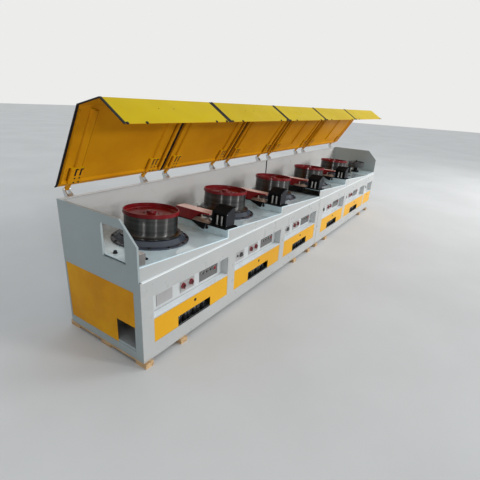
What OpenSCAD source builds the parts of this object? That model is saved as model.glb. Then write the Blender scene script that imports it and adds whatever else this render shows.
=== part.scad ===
// Straight-line wire drawing machine: five tilted drawing capstans in a row on
// stepped decks, in two cabinet modules on timber skids, under five hinged hoods.
// Machine axes: X along the wire, from the outlet end at the left, Y to the back.

/* [Cabinet] */
// Pitch of the drawing bays
bay_l = 1260; // [1150:10:1500]
// Post between the last bay of module 1 and the joint of the modules
post_1 = 105; // [80:5:200]
// Post between the joint of the modules and the first bay of module 2
post_2 = 60; // [40:5:150]
// Extra length of the last drawing bay
last_extra = 167; // [0:5:300]
// Length of the level deck at the inlet end
inlet_l = 710; // [650:10:900]
// Gap between the two modules
module_gap = 8; // [4:1:12]
// Depth of the cabinet
body_d = 1100; // [1080:10:1300]
// Height of the lower cabinet up to the lip
lip_h = 815; // [760:5:900]
// Step from the lower cabinet back to the upper front
lip_step = 22; // [14:1:26]
// From the lip up to the top of the end and back walls
wall_rise = 515; // [505:5:600]
// Depth of the sloping corner of the end walls
slope_d = 222; // [200:2:230]
// Drop of the sloping corner of the end walls
slope_h = 198; // [180:2:205]
// Thickness of the cabinet plates
plate_t = 8; // [6:1:10]
// Thickness of the double-skinned upper end walls
end_t = 20; // [16:1:30]
// Height of the bottom frame
beam_h = 112; // [100:2:120]
// Width of the bottom beams
beam_w = 60; // [50:5:80]

/* [Decks] */
// From the lip up to the upper end of every deck
deck_rise = 141; // [130:1:160]
// Slope of the decks and tilt of the capstans
tilt = 4.24; // [3.5:0.1:4.6]
// Thickness of the deck plates
deck_t = 12; // [8:1:16]

/* [Front panels] */
// From the start of a bay to its panel
panel_x = 139; // [130:1:160]
// Height of the lower edge of the panels
panel_z = 157; // [150:1:180]
// Height of the panels
panel_h = 247; // [230:1:250]
// Thickness of the panels
panel_t = 4; // [3:0.5:5]
// Gap around the panels
panel_gap = 2; // [1:0.5:4]
// Ledge behind the edge of the panels
panel_seat = 12; // [8:1:16]
// Width of the cut-out in the panels
cut_w = 500; // [400:10:600]
// Height of the cut-out in the panels
cut_h = 115; // [90:5:140]
// Height of the floor of the control recess
recess_z = 418; // [414:1:440]
// Height of the control recess
recess_h = 222; // [200:2:240]
// Depth of the control recess
recess_d = 85; // [60:1:100]
// Thickness of the recess sheet
recess_t = 4; // [3:0.5:5]

/* [Capstans] */
// From the upper end of a deck to the capstan axis
cap_x = 620; // [600:5:640]
// From the front to the capstan axis
cap_y = 540; // [520:5:560]
// Radius of the base ring
ring_r = 388; // [380:2:392]
// Height of the base ring
ring_h = 62; // [56:1:68]
// Radius of the drawing face
drum_r = 266; // [258:2:268]
// Radius of the flared foot of the drum
foot_r = 306; // [300:2:312]
// Height of the drum above its deck
drum_h = 271; // [260:1:276]
// Wall of the drum
drum_wall = 16; // [12:1:20]
// Radius of the capstan shaft
shaft_r = 50; // [40:1:60]
// Outer radius of the red dish
rim_r = 276; // [272:1:280]
// Height of the edge of the red dish above the drum
rim_h = 35; // [30:1:40]

/* [Hoods] */
// Angle at which the hoods stand open
open_angle = 57.6; // [45:0.2:60]
// Height gap between the walls and a closed hood
hood_gap = 9; // [8:0.5:12]
// Thickness of the hood sheet
hood_t = 3; // [2:0.5:4]
// Gap between two hoods
hood_space = 44; // [36:2:60]
// From the back of the cabinet to the hinge axis
hinge_back = 79; // [70:1:90]
// From the top of the walls to the hinge axis
hinge_up = 54; // [50:1:60]
// Radius of the hinge pin
pin_r = 8; // [6:0.5:10]
// Middle of the gap after the fourth hood, from the joint of the modules
hood_d_l = 1495; // [1400:5:1600]
// Width of the stiffening channels inside the hoods
channel_w = 46; // [30:2:60]
// Depth of the stiffening channels
channel_h = 17; // [10:1:18]
// Width of the rubber edging on the left edge of a hood
edging_w = 18; // [12:1:24]
// Thickness of the rubber edging
edging_t = 2.5; // [1.5:0.5:3]

/* [Skids] */
// Height of the timber skids
skid_h = 55; // [45:5:80]
// Width of the timber skids
skid_w = 90; // [70:5:120]
// How far the skids stand out at the front
skid_out = 25; // [10:5:60]

/* [Drain bends] */
// Outer radius of the moulded drain bends behind the cut-outs
bend_r = 24; // [16:1:28]
// Radius of the middle line of a bend
bend_mid = 46; // [40:1:50]
// Pitch of the bends
bend_pitch = 145; // [142:1:160]

/* [Hidden] */
$fn = 64;

// Heights of the walls and the decks
wall_h = lip_h + wall_rise;
deck_h = lip_h + deck_rise;

// Lengths of the modules and the places of the bays
len_1 = 3*bay_l + post_1;
start_2 = len_1 + module_gap;
total_l = start_2 + post_2 + 2*bay_l + last_extra + inlet_l;
inlet_x = total_l - inlet_l;
bay_x = [0, bay_l, 2*bay_l, start_2 + post_2, start_2 + post_2 + bay_l];
deck_x = [0, bay_l, 2*bay_l, start_2, start_2 + post_2 + bay_l];
deck_end = [bay_l, 2*bay_l, len_1, start_2 + post_2 + bay_l, inlet_x];
inlet_h = deck_h - (inlet_x - deck_x[4])*tan(tilt);

// The front panels and their recesses, one for each bay and one at the inlet
inlet_panel_x = 80;
inlet_panel_end = 92;
panel_l = bay_l - panel_x - 1;
panels = [
    [bay_x[0] + panel_x, panel_l],
    [bay_x[1] + panel_x, panel_l],
    [bay_x[2] + panel_x, panel_l],
    [bay_x[3] + panel_x, panel_l],
    [bay_x[4] + panel_x, panel_l + last_extra],
    [inlet_x + inlet_panel_x, inlet_l - inlet_panel_x - inlet_panel_end]
];

// The drawing stations
stations = [0, 1, 2, 3, 4];
guides = [1, 2, 3, 4];
function axis_x(i) = deck_x[i] + cap_x;
function deck_z(i, x) = deck_h - (x - deck_x[i])*tan(tilt);

// The hinge axis, and the hoods from the left
hinge_y = body_d + hinge_back;
hinge_z = wall_h + hinge_up;
bracket_r = 16;
hood_mid = [0, bay_l + 30, 2*bay_l + 70, start_2 - 12, start_2 + hood_d_l, total_l];
hood_x = [for (i = [0:4]) hood_mid[i] + (i == 0 ? edging_t : hood_space/2)];
hood_end = [for (i = [1:5]) hood_mid[i] - (i == 5 ? 0 : hood_space/2)];
hinge_in = 150;
hinge_w = 60;

// The origin is under the middle of the machine, on the floor
y_mid = (hinge_y + bracket_r - skid_out)/2;
module machine() {
    translate([-total_l/2, -y_mid, skid_h]) children();
}

// Runs a profile drawn in Y and Z along X
module along_x(x0, x1) {
    translate([x0, 0, 0]) rotate([90, 0, 90]) linear_extrude(x1 - x0) children();
}

// Runs a profile drawn in X and Z along Y
module along_y(y0, y1) {
    translate([0, y1, 0]) rotate([90, 0, 0]) linear_extrude(y1 - y0) children();
}

// Stands its children on deck i, square to it, at machine place x, y
module on_deck(i, x, y) {
    translate([x, y, deck_z(i, x)]) rotate([0, tilt, 0]) children();
}

// A skid is a board across the machine on three blocks
board_t = 22;
block_l = 140;
skid_2_in = 460;
skid_3_in = 860;
skid_4_in = 320;
module timber_skids() {
    color("burlywood") machine() {
        for (m = [[0, len_1], [start_2, total_l]])
            for (x = [m[0], m[0] + skid_2_in, m[1] - skid_3_in, m[1] - skid_4_in])
                translate([x, 0, -skid_h]) {
                    translate([0, -skid_out, skid_h - board_t])
                        cube([skid_w, body_d + 2*skid_out, board_t]);
                    for (y = [-skid_out, (body_d - block_l)/2, body_d + skid_out - block_l])
                        translate([0, y, 0]) cube([skid_w, block_l, skid_h - board_t]);
                }
    }
}

// The bottom frame: beams with the floor sheet of the cabinet over them
floor_t = 5;
module base_frame(x0, x1) {
    l = x1 - x0;
    cell = (l - beam_w)/3;
    translate([x0, plate_t, 0]) difference() {
        cube([l, body_d - 2*plate_t, beam_h]);
        for (k = [0:2])
            translate([beam_w + k*cell, beam_w, -1])
                cube([cell - beam_w, body_d - 2*plate_t - 2*beam_w, beam_h - floor_t + 1]);
    }
}
module base_frame_1() {
    color("gainsboro") machine() base_frame(plate_t, len_1);
}
module base_frame_2() {
    color("gainsboro") machine() base_frame(start_2, total_l - plate_t);
}

// The lower front: openings with a seat for the panels, and for the recesses
module front_plate(x0, x1, list) {
    difference() {
        translate([x0, 0, 0]) cube([x1 - x0, plate_t, lip_h]);
        for (p = list) {
            translate([p[0] - recess_t, -1, recess_z - recess_t])
                cube([p[1] + 2*recess_t, plate_t + 2, recess_h + 2*recess_t]);
            translate([p[0] - panel_gap, -1, panel_z - panel_gap])
                cube([p[1] + 2*panel_gap, panel_t + 2, panel_h + 2*panel_gap]);
            translate([p[0] + panel_seat, -1, panel_z + panel_seat])
                cube([p[1] - 2*panel_seat, plate_t + 2, panel_h - 2*panel_seat]);
        }
    }
}

// The control recess above a panel: a box of folded sheet
module recess(p) {
    translate([p[0], 0, recess_z]) difference() {
        translate([-recess_t, 0, -recess_t])
            cube([p[1] + 2*recess_t, recess_d + recess_t, recess_h + 2*recess_t]);
        translate([0, -1, 0]) cube([p[1], recess_d + 1, recess_h]);
    }
}
module front_plate_1() {
    color("gainsboro") machine()
        front_plate(0, len_1, [panels[0], panels[1], panels[2]]);
}
module front_plate_2() {
    color("gainsboro") machine()
        front_plate(start_2, total_l, [panels[3], panels[4], panels[5]]);
}

module recess_boxes_1() {
    color("gainsboro") machine() for (i = [0:2]) recess(panels[i]);
}
module recess_boxes_2() {
    color("gainsboro") machine() for (i = [3:5]) recess(panels[i]);
}

// The saw-tooth line of a module's decks, from its start to its end
line_1 = [for (i = [0:2]) each [[deck_x[i], deck_h], [deck_end[i], deck_z(i, deck_end[i])]]];
line_2 = concat(
    [for (i = [3:4]) each [[deck_x[i], deck_h], [deck_end[i], deck_z(i, deck_end[i])]]],
    [[total_l, inlet_h]]
);

// The underside of the decks, with the backs of their risers
function under_decks(line) = [
    for (k = [0:len(line) - 1]) each k > 0 && line[k][0] == line[k - 1][0] ? [
        [line[k][0] + deck_t, line[k - 1][1] - deck_t],
        [line[k][0] + deck_t, line[k][1] - deck_t*(1 + tan(tilt))]
    ] : [[line[k][0], line[k][1] - deck_t]]
];

// The upper front stands a step behind the lip and follows the decks from below
module upper_front(x0, x1, line) {
    along_y(lip_step, lip_step + plate_t) intersection() {
        polygon(concat(
            [[total_l, lip_h - plate_t], [0, lip_h - plate_t]], under_decks(line),
            x0 < len_1 ? [[total_l, deck_h - deck_t]] : []
        ));
        translate([x0, 0]) square([x1 - x0, 2*wall_h]);
    }
    translate([x0, plate_t, lip_h - plate_t]) cube([x1 - x0, lip_step, plate_t]);
}
module upper_front_1() {
    color("gainsboro") machine() upper_front(end_t, len_1, line_1);
}
module upper_front_2() {
    color("gainsboro") machine() upper_front(start_2, total_l - end_t, line_2);
}

// Sloping deck plates, with a riser plate up to the next deck
module decks(x0, x1, line) {
    low = under_decks(line);
    along_y(lip_step, body_d - plate_t) intersection() {
        polygon(concat(line, [for (k = [len(low) - 1:-1:0]) low[k]]));
        translate([x0, 0]) square([x1 - x0, 2*wall_h]);
    }
}
module deck_1() {
    color("gainsboro") machine() decks(end_t, len_1, line_1);
}
module deck_2() {
    color("gainsboro") machine() decks(start_2, total_l - end_t, line_2);
}

// The back of a module: a plate with a flange along its top
flange_w = 40;
module back_wall(x0, x1) {
    translate([x0, body_d - plate_t, 0]) cube([x1 - x0, plate_t, wall_h]);
    translate([x0, body_d - flange_w, wall_h - plate_t])
        cube([x1 - x0, flange_w, plate_t]);
}
module back_wall_1() {
    color("gainsboro") machine() back_wall(end_t, len_1);
}
module back_wall_2() {
    color("gainsboro") machine() back_wall(start_2, total_l - end_t);
}

// The outline of an upper end wall, seen from the left end
module end_outline() {
    polygon([
        [lip_step, lip_h], [body_d, lip_h], [body_d, wall_h],
        [slope_d, wall_h], [lip_step, wall_h - slope_h]
    ]);
}

end_panel_y = 95;
end_panel_back = 25;
end_panel_l = body_d - end_panel_y - end_panel_back;
end_panel_z = 85;
end_panel_h = 615;
end_cut_l = 253;
end_cut_h = 258;
window_y = 170;
window_l = 300;
window_z = 935;
window_h = 312;

// An end wall: a lower plate with a panel opening, and a double-skinned upper wall
module end_wall(x, side) {
    difference() {
        union() {
            translate([side > 0 ? x : x - plate_t, plate_t, 0])
                cube([plate_t, body_d - plate_t, lip_h]);
            translate([side > 0 ? x : x - end_t, body_d - plate_t, 0])
                cube([end_t, plate_t, lip_h + plate_t]);
            translate([side > 0 ? x : x - plate_t, lip_step, lip_h - plate_t])
                cube([plate_t, body_d - lip_step, 2*plate_t]);
            along_x(side > 0 ? x : x - end_t, side > 0 ? x + end_t : x) end_outline();
        }
        translate([x - end_t, end_panel_y + panel_seat, max(beam_h, end_panel_z + panel_seat)])
            cube([
                2*end_t, end_panel_l - 2*panel_seat,
                end_panel_z + end_panel_h - panel_seat - max(beam_h, end_panel_z + panel_seat)
            ]);
        translate([
            side > 0 ? x - 1 : x - panel_t - 1,
            end_panel_y - panel_gap, end_panel_z - panel_gap
        ])
            cube([panel_t + 2, end_panel_l + 2*panel_gap, end_panel_h + 2*panel_gap]);
    }
}
module left_end_wall() {
    color("gainsboro") machine() difference() {
        end_wall(0, 1);
        translate([-1, window_y, window_z]) cube([end_t + 2, window_l, window_h]);
    }
}
module right_end_wall() {
    color("gainsboro") machine() end_wall(total_l, -1);
}

// The plates that close the modules at their joint, with the seal between them
seal_in = 20;
module joint_walls() {
    color("gainsboro") machine() {
        for (x = [len_1 - plate_t, start_2])
            translate([x, plate_t, beam_h])
                cube([plate_t, body_d - 2*plate_t, lip_h - plate_t - beam_h]);
        translate([len_1, seal_in, 0]) cube([module_gap, body_d - seal_in - plate_t, lip_h]);
    }
}

// A front panel with its cut-out at the lower edge
module front_panel(p) {
    difference() {
        translate([p[0], 1, panel_z]) cube([p[1], panel_t, panel_h]);
        if (p[1] > cut_w + 100)
            translate([p[0] + (p[1] - cut_w)/2, 0, panel_z - 1])
                cube([cut_w, panel_t + 2, cut_h + 1]);
    }
}
module front_panels_1() {
    color("goldenrod") machine() for (i = [0:2]) front_panel(panels[i]);
}
module front_panels_2() {
    color("goldenrod") machine() for (i = [3:5]) front_panel(panels[i]);
}

// The panels of the two ends; the left one is cut out at its front corner
module end_panels() {
    color("goldenrod") machine() {
        translate([1, 0, 0]) difference() {
            translate([0, end_panel_y, end_panel_z])
                cube([panel_t, end_panel_l, end_panel_h]);
            translate([-1, end_panel_y - 1, end_panel_z - 1])
                cube([panel_t + 2, end_cut_l + 1, end_cut_h + 1]);
        }
        translate([total_l - panel_t - 1, end_panel_y, end_panel_z])
            cube([panel_t, end_panel_l, end_panel_h]);
    }
}

// Three moulded return bends of the drains behind each cut-out, from floor to floor
bend_y = 60;
module drain_bend() {
    rise = panel_z + cut_h - beam_h - bend_mid - bend_r - 14;
    translate([0, 0, rise]) rotate([90, 0, 0]) rotate_extrude(angle = 180)
        translate([bend_mid, 0]) circle(r = bend_r, $fn = 40);
    for (q = [-1, 1]) translate([q*bend_mid, 0, 0])
        cylinder(r = bend_r, h = rise, $fn = 40);
}
module drain_bends() {
    color("darkslategray") machine() for (i = stations) for (k = [-1:1])
        translate([panels[i][0] + panels[i][1]/2 + k*bend_pitch, bend_y, beam_h])
            drain_bend();
}

// The plates in the control recesses
plate_z = 452;
plate_h = 146;
plate_d = 3;
plate_at = [[108, 208], [424, 212], [718, 309]];
knob_at = [461, 579];
knob_z = 525;
knob_r = 19;
knob_l = 32;
switch_at = [160, 237];
button_at = [766, 826, 891, 961];
button_z = 545;
button_r = 11;
button_l = 14;
end_plate_in = 150;
end_plate_l = 240;
module control_plates() {
    color("darkgray") machine() {
        for (i = [0:4]) for (q = plate_at)
            translate([panels[i][0] + q[0], recess_d - plate_d, plate_z])
                cube([q[1], plate_d, plate_h]);
        translate([panels[5][0] + end_plate_in, recess_d - plate_d, plate_z])
            cube([end_plate_l, plate_d, plate_h]);
    }
}
module knob(r, l) {
    translate([0, recess_d - plate_d, 0]) rotate([90, 0, 0]) cylinder(r = r, h = l);
}
module control_knobs() {
    color("darkred") machine() {
        for (i = [0:4]) {
            for (k = knob_at) translate([panels[i][0] + k, 0, knob_z]) knob(knob_r, knob_l);
            for (k = button_at)
                translate([panels[i][0] + k, 0, button_z]) knob(button_r, button_l);
        }
        for (i = guides) for (k = switch_at)
            translate([panels[i][0] + k, 0, knob_z]) knob(button_r, button_l);
        translate([panels[5][0] + end_plate_in + end_plate_l/2, 0, knob_z])
            knob(knob_r, knob_l);
    }
}

// The fixed base ring of a capstan: a bolting flange, a cone up to the drum, and the
// bearing of the shaft
bearing_play = 0.05;
thrust_play = 0.3;
seat_play = 0.02;
land_w = 30;
bolt_land_t = 15;
bolt_land_w = 34;
module base_ring() {
    b = shaft_r + bearing_play;
    rotate_extrude($fn = 96) polygon([
        [b, seat_play], [b + land_w, seat_play], [b + land_w, 3], [ring_r - land_w, 3],
        [ring_r - land_w, seat_play], [ring_r, seat_play], [ring_r, bolt_land_t - 3],
        [ring_r - 3, bolt_land_t], [ring_r - bolt_land_w, bolt_land_t + 1],
        [ring_r - bolt_land_w - 6, bolt_land_t + 5], [foot_r + 12, ring_h - 5],
        [foot_r + 6, ring_h], [foot_r - 8, ring_h], [foot_r - 14, ring_h - 8],
        [foot_r - 14, bolt_land_t], [b + 46, bolt_land_t], [b + 42, ring_h], [b, ring_h]
    ]);
}
module base_rings() {
    color("slategray") machine()
        for (i = stations) on_deck(i, axis_x(i), cap_y) base_ring();
}

// A capstan drum: flared foot, drawing face with a slight waist, shaft
foot_z = ring_h + 6;
flare_h = 28;
module drum(i) {
    color("silver") machine() on_deck(i, axis_x(i), cap_y)
        rotate_extrude($fn = 96) polygon(concat(
            [
                [0, 6], [shaft_r, 6], [shaft_r, ring_h + thrust_play],
                [shaft_r + 36, ring_h + thrust_play], [shaft_r + 36, foot_z],
                [foot_r - 3, foot_z], [foot_r, foot_z + 3], [foot_r, foot_z + 9]
            ],
            [for (a = [90:-15:0]) [
                drum_r + (foot_r - drum_r)*(1 - cos(a)),
                foot_z + 9 + flare_h*(1 - sin(a))
            ]],
            [
                [drum_r, drum_h], [drum_r - drum_wall, drum_h],
                [drum_r - drum_wall, foot_z + 22], [shaft_r + 30, foot_z + 22],
                [shaft_r + 30, drum_h - 22], [0, drum_h - 22]
            ]
        ));
}
module drum_a() { drum(0); }
module drum_b() { drum(1); }
module drum_c() { drum(2); }
module drum_d() { drum(3); }
module drum_e() { drum(4); }

// The red dish on top of a drum, with its hub
dish_z = drum_h - 7;
module rim(i) {
    color("firebrick") machine() on_deck(i, axis_x(i), cap_y)
        rotate_extrude($fn = 96) polygon([
            [20, drum_h - 22], [drum_r - drum_wall - 4, drum_h - 22],
            [drum_r - drum_wall - 1, drum_h], [rim_r + 2, drum_h], [rim_r + 3, drum_h + 4],
            [rim_r, drum_h + rim_h - 3], [rim_r - 3, drum_h + rim_h],
            [rim_r - 9, drum_h + rim_h], [rim_r - 12, drum_h + rim_h - 4],
            [rim_r - 14, drum_h + 10], [drum_r - drum_wall - 8, drum_h + 4],
            [drum_r - drum_wall - 14, dish_z], [48, dish_z], [43, dish_z + 24],
            [40, dish_z + 26], [30, dish_z + 26], [28, dish_z + 22], [28, dish_z],
            [20, dish_z]
        ]);
}
module rim_a() { rim(0); }
module rim_b() { rim(1); }
module rim_c() { rim(2); }
module rim_d() { rim(3); }
module rim_e() { rim(4); }

// The die stations between the capstans stand on the upper edge of each deck:
// a base plate over the riser, a guide tower in front and a covered die box behind
base_over = 40;
base_t = 12;
base_y = lip_step + 4;
base_l = 744;
base_w = 160;
foot_w = 222;
foot_l = 262;
gusset_y = base_y + foot_l + 24;
gusset_l = 206;
gusset_drop = 62;
gusset_t = 8;
module on_riser(i) {
    translate([deck_x[i], 0, deck_h]) rotate([0, tilt, 0]) children();
}
module die_bases() {
    color("dimgray") machine() for (i = guides) on_riser(i) {
        translate([-base_over, base_y, 0]) cube([base_w, base_l, base_t]);
        translate([-base_over, base_y, 0]) cube([foot_w, foot_l, base_t]);
        // Gusset under the left edge, and the clamp screw that hangs beside it
        translate([-base_over, 0, 0]) rotate([90, 0, 90]) linear_extrude(gusset_t) polygon([
            [gusset_y, 1], [gusset_y + gusset_l, 1], [gusset_y + 48, -gusset_drop],
            [gusset_y + 22, -gusset_drop]
        ]);
        translate([-base_over + 20, gusset_y - 8, -30]) cylinder(r = 9, h = 34);
    }
}

// A guide tower: sloping cap, and a recess with two upright guide pins
tower_y = lip_step + 40;
tower_d = 196;
tower_l = 168;
tower_h = 214;
tower_left_h = 158;
tower_top_l = 52;
tower_wall = 14;
tower_in = 46;
recess_low = 128;
pin_wire_r = 15;
pin_wire_h = 112;
module guide_towers() {
    color("dimgray") machine() for (i = guides) on_riser(i) difference() {
        translate([0, 0, base_t]) along_y(tower_y, tower_y + tower_d) polygon([
            [0, 0], [tower_l, 0], [tower_l, tower_h],
            [tower_l - tower_top_l, tower_h], [0, tower_left_h]
        ]);
        translate([-1, tower_y + tower_wall, base_t + 5])
            cube([tower_in + 1, tower_d - 2*tower_wall, recess_low]);
    }
}
module guide_pins() {
    color("lightgray") machine() for (i = guides) on_riser(i)
        for (y = [tower_y + 0.36*tower_d, tower_y + 0.68*tower_d])
            translate([tower_in/2, y, base_t + 5]) rotate_extrude() polygon(concat(
                [[0, 0], [pin_wire_r + 5, 0], [pin_wire_r + 5, 8], [pin_wire_r, 8]],
                [for (a = [0:15:90]) [
                    pin_wire_r*cos(a), pin_wire_h - pin_wire_r*(1 - sin(a))
                ]]
            ));
}

// The red cover of a die box, with an open mouth under its lid
cover_y = tower_y + tower_d + 6;
cover_l = base_y + base_l - cover_y;
cover_w = 158;
cover_h = 118;
cover_t = 4;
lid_h = 16;
mouth_low = 252;
mouth_high = 140;
module die_covers() {
    color("firebrick") machine() for (i = guides) on_riser(i)
        translate([-base_over + 1, cover_y, base_t]) difference() {
            rotate([90, 0, 90]) linear_extrude(cover_w) polygon([
                [cover_l, 0], [mouth_low, 0], [mouth_high, cover_h - lid_h],
                [0, cover_h - lid_h],
                [0, cover_h], [cover_l, cover_h]
            ]);
            translate([cover_t, -1, -1])
                cube([cover_w - 2*cover_t, cover_l - cover_t + 1, cover_h - cover_t + 1]);
        }
}

// The tray in the mouth, with the round die holder and its clamp bolt
module die_holders() {
    color("rosybrown") machine() for (i = guides) on_riser(i)
        translate([-base_over + 1, cover_y, base_t]) {
            translate([cover_t + 3, 14, 0])
                cube([cover_w - 2*cover_t - 6, cover_l - cover_t - 20, 9]);
            translate([cover_w/2, 82, 9]) rotate_extrude() polygon([
                [0, 0], [50, 0], [50, 10], [44, 16], [30, 16], [26, 12], [26, 26],
                [16, 30], [0, 30]
            ]);
            translate([cover_w/2 + 4, 172, 9]) cylinder(r = 11, h = 52);
        }
}

// A hood in its closed place is one bent sheet: a kicked-up back edge, the top, the
// slope and the front flap, all at one distance e outside the outline of the end walls
slope_a = atan(slope_h/(slope_d - lip_step));
kick_l = 34;
kick_h = 10;
function hood_line(e) = [
    [body_d - 2, wall_h + kick_h + e],
    [body_d - 2 - kick_l, wall_h + e],
    [slope_d - e*tan(slope_a/2), wall_h + e],
    [lip_step - e, wall_h - slope_h + e*tan(45 - slope_a/2)],
    [lip_step - e, lip_h + hood_gap]
];
module hood_band(e0, e1) {
    a = hood_line(e0);
    b = hood_line(e1);
    polygon(concat(a, [for (k = [4:-1:0]) b[k]]));
}

// Gooseneck arm from the back edge of the hood to the hinge pin
ear_w = 36;
bracket_gap = 1;
module hood_ear(x) {
    z = wall_h + hood_gap + hood_t;
    translate([x - ear_w/2, 0, 0]) rotate([90, 0, 90]) linear_extrude(ear_w) difference() {
        union() {
            polygon([
                [body_d - 150, z - 1], [body_d - kick_l - 2, z - 1],
                [body_d - 4, z + kick_h - 1], [hinge_y - 2, hinge_z - bracket_r + 1],
                [hinge_y - 11, hinge_z + bracket_r - 5],
                [body_d - 44, z + kick_h + 8], [body_d - 150, z + 7]
            ]);
            translate([hinge_y, hinge_z]) circle(r = bracket_r);
        }
        translate([hinge_y, hinge_z]) circle(r = pin_r + bearing_play);
    }
}

// Stiffening channel under the top, from the first bend to the hinge plate
plate_w = 84;
plate_l = 190;
leaf_t = 3;
slot_w = 11;
slot_l = 58;
module stiffener(x) {
    y0 = slope_d + 26;
    y1 = body_d - kick_l - plate_l + slot_l;
    z = wall_h + hood_gap;
    translate([0, y1, 0]) rotate([90, 0, 0]) linear_extrude(y1 - y0) polygon([
        [x - channel_w/2, z + 1], [x - channel_w/2, z], [x - channel_w/4, z - channel_h],
        [x + channel_w/4, z - channel_h], [x + channel_w/2, z], [x + channel_w/2, z + 1]
    ]);
}
module hinge_leaf(x) {
    translate([x - plate_w/2, body_d - kick_l - 6 - plate_l, wall_h + hood_gap - leaf_t])
        difference() {
            cube([plate_w, plate_l, leaf_t + 1]);
            for (q = [-1, 1])
                translate([plate_w/2 + q*(plate_w/2 - 16) - slot_w/2, 14, -1])
                    cube([slot_w, slot_l, leaf_t + 1]);
        }
}
function hinges(i) = [hood_x[i] + hinge_in, hood_end[i] - hinge_in - 20];
function middles(i) = hood_end[i] - hood_x[i] > 1400 ? [(hood_x[i] + hood_end[i])/2] : [];
module hood_open() {
    translate([0, hinge_y, hinge_z]) rotate([-open_angle, 0, 0])
        translate([0, -hinge_y, -hinge_z]) children();
}
module hood(i) {
    color("gold") machine() hood_open() {
        along_x(hood_x[i], hood_end[i]) hood_band(hood_gap, hood_gap + hood_t);
        for (x = concat(hinges(i), middles(i))) stiffener(x);
        for (x = hinges(i)) {
            hood_ear(x);
            hinge_leaf(x);
        }
    }
}
module hood_a() { hood(0); }
module hood_b() { hood(1); }
module hood_c() { hood(2); }
module hood_d() { hood(3); }
module hood_e() { hood(4); }

// Rubber edging along the left edge of a hood, with a lip towards the next hood
seal_clear = 8;
module edging(i) {
    x = hood_x[i];
    color("dimgray") machine() hood_open() {
        difference() {
            along_x(x - edging_t, x + edging_w)
                hood_band(hood_gap - edging_t, hood_gap + hood_t + edging_t);
            along_x(x, x + edging_w + 1) hood_band(hood_gap, hood_gap + hood_t);
        }
        if (i > 0) along_x(x - hood_space + seal_clear, x - edging_t)
            hood_band(hood_gap, hood_gap + hood_t);
    }
}
module edging_a() { edging(0); }
module edging_b() { edging(1); }
module edging_c() { edging(2); }
module edging_d() { edging(3); }
module edging_e() { edging(4); }

// Fixed hinge brackets on the back: two cheeks on a foot, with the hinge pin
bracket_low = 160;
foot_t = 10;
module hinge_bracket(x) {
    translate([x - hinge_w/2, 0, 0]) {
        difference() {
            rotate([90, 0, 90]) linear_extrude(hinge_w) {
                polygon([
                    [body_d, wall_h - bracket_low], [body_d + foot_t, wall_h - bracket_low],
                    [hinge_y + bracket_r, hinge_z - 20], [hinge_y + bracket_r, hinge_z],
                    [hinge_y - bracket_r, hinge_z], [body_d, wall_h - 20]
                ]);
                translate([hinge_y, hinge_z]) circle(r = bracket_r);
            }
            translate([
                (hinge_w - ear_w)/2 - bracket_gap, body_d + foot_t, hinge_z - bracket_r - 26
            ])
                cube([ear_w + 2*bracket_gap, hinge_back + bracket_r, 2*bracket_r + 27]);
            translate([(hinge_w - ear_w)/2 - bracket_gap, body_d - 1, wall_h - 1])
                cube([ear_w + 2*bracket_gap, foot_t + 2, 2*bracket_r]);
        }
        translate([0, hinge_y, hinge_z]) rotate([0, 90, 0])
            cylinder(r = pin_r, h = hinge_w);
    }
}
module hinge_brackets() {
    color("silver") machine()
        for (i = stations) for (x = hinges(i)) hinge_bracket(x);
}

// The inlet wheel on its pedestal, and a small guide stand beside it
wheel_in = 350;
wheel_x = inlet_x + wheel_in;
wheel_y = 380;
wheel_r = 190;
wheel_h = 110;
wheel_z = 120;
stud_r = 25;
module inlet_stand() {
    color("dimgray") machine() translate([wheel_x, wheel_y, inlet_h]) {
        cylinder(r = 88, h = 24);
        cylinder(r = 44, h = wheel_z);
        cylinder(r = stud_r, h = wheel_z + wheel_h + 14);
    }
}
module inlet_wheel() {
    b = stud_r + bearing_play;
    color("dimgray") machine() translate([wheel_x, wheel_y, inlet_h + wheel_z + thrust_play])
        rotate_extrude() polygon([
            [b, 0], [wheel_r - 12, 0], [wheel_r, 6], [wheel_r, 14], [wheel_r - 14, 26],
            [wheel_r - 14, wheel_h - 26], [wheel_r, wheel_h - 14], [wheel_r, wheel_h - 6],
            [wheel_r - 12, wheel_h], [wheel_r - 30, wheel_h], [wheel_r - 34, wheel_h - 24],
            [b + 30, wheel_h - 24], [b + 26, wheel_h], [b, wheel_h]
        ]);
}
module inlet_guide() {
    color("dimgray") machine() translate([inlet_x + 60, wheel_y + 60, inlet_h]) {
        cylinder(r = 50, h = 14);
        cylinder(r = 22, h = 100);
        translate([-48, -18, 96]) cube([96, 36, 50]);
    }
}

// The guide block where the finished wire leaves, at the left end
module outlet_guide() {
    color("lightgray") machine() on_deck(0, 20, 40) difference() {
        cube([80, 90, 100]);
        translate([-1, 30, 20]) cube([82, 30, 60]);
    }
}

timber_skids();
base_frame_1();
base_frame_2();
front_plate_1();
front_plate_2();
recess_boxes_1();
recess_boxes_2();
upper_front_1();
upper_front_2();
back_wall_1();
back_wall_2();
left_end_wall();
right_end_wall();
joint_walls();
deck_1();
deck_2();
front_panels_1();
front_panels_2();
end_panels();
drain_bends();
control_plates();
control_knobs();
base_rings();
drum_a();
drum_b();
drum_c();
drum_d();
drum_e();
rim_a();
rim_b();
rim_c();
rim_d();
rim_e();
die_bases();
guide_towers();
guide_pins();
die_covers();
die_holders();
hood_a();
hood_b();
hood_c();
hood_d();
hood_e();
edging_a();
edging_b();
edging_c();
edging_d();
edging_e();
hinge_brackets();
inlet_stand();
inlet_wheel();
inlet_guide();
outlet_guide();
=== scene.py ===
import math

import bmesh
import bpy
from mathutils import Matrix, Vector


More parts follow.
